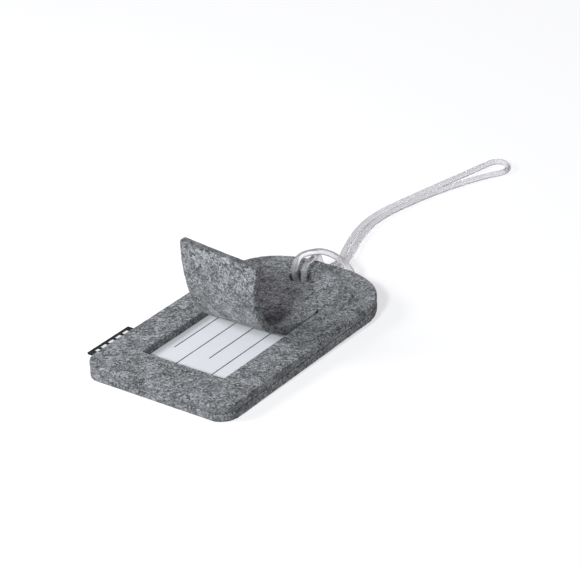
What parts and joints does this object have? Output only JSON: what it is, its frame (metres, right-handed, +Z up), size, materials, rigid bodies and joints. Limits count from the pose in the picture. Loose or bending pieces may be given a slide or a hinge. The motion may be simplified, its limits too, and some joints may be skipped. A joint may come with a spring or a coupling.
{
  "type": "luggage tag",
  "caption": "Felt luggage tag with a bonded card pocket, a privacy flap that curls open and a clear strap hitched through its end hole.",
  "frame": {"origin": "centre of the outline's bounding box, side label included and strap left out, on the table that the tag lies on", "axes": "+Y along the tag towards the strap hole, +Z up out of the face with the flap, +X across to the side without the label"},
  "size_m": [0.071, 0.2466, 0.0433],
  "materials": {
    "felt": "marled mid grey wool felt",
    "adhesive": "thin bonding film",
    "card": "smooth card stock",
    "ribbon": "woven satin ribbon",
    "clear_strap": "clear soft plastic"
  },
  "bodies": {
    "tag": {"front_panel": "felt", "back_panel": "felt", "bond_film": "adhesive", "name_card": "card", "side_label": "ribbon", "strap": "clear_strap"},
    "flap_1": {"flap_strip_1": "felt"},
    "flap_2": {"flap_strip_2": "felt"},
    "flap_3": {"flap_strip_3": "felt"},
    "flap_4": {"flap_strip_4": "felt"},
    "flap_5": {"flap_strip_5": "felt"},
    "flap_6": {"flap_strip_6": "felt"}
  },
  "joints": [
    {"name": "flap_root_lift", "type": "hinge", "parent": "tag", "child": "flap_1", "pos_m": [0.003, 0.02322, 0.00823], "axis": [-1, 0, 0], "range_deg": [0, 70]},
    {"name": "flap_curl_2", "type": "hinge", "parent": "flap_1", "child": "flap_2", "pos_m": [0.003, 0.00972, 0.0079], "axis": [-0.9901, -0.1402, -0.0035], "range_deg": [-15, 6]},
    {"name": "flap_curl_3", "type": "hinge", "parent": "flap_2", "child": "flap_3", "pos_m": [0.00296, 0.00097, 0.00999], "axis": [-0.9988, 0.0237, -0.043], "range_deg": [-14, 5.6]},
    {"name": "flap_curl_4", "type": "hinge", "parent": "flap_3", "child": "flap_4", "pos_m": [0.00287, -0.00524, 0.01321], "axis": [-0.978, 0.1712, -0.1189], "range_deg": [-29, 11.6]},
    {"name": "flap_curl_5", "type": "hinge", "parent": "flap_4", "child": "flap_5", "pos_m": [0.00287, -0.00861, 0.01818], "axis": [-0.9662, 0.2, -0.1629], "range_deg": [-19, 7.6]},
    {"name": "flap_curl", "type": "hinge", "parent": "flap_5", "child": "flap_6", "pos_m": [0.0035, -0.01325, 0.03452], "axis": [-0.9478, 0.065, 0.312], "range_deg": [-20, 8]}
  ],
  "couplings": [
    {"joint": "flap_curl_2", "follows": "flap_curl", "ratio": 0.75},
    {"joint": "flap_curl_3", "follows": "flap_curl", "ratio": 0.7},
    {"joint": "flap_curl_4", "follows": "flap_curl", "ratio": 1.45},
    {"joint": "flap_curl_5", "follows": "flap_curl", "ratio": 0.95}
  ]
}
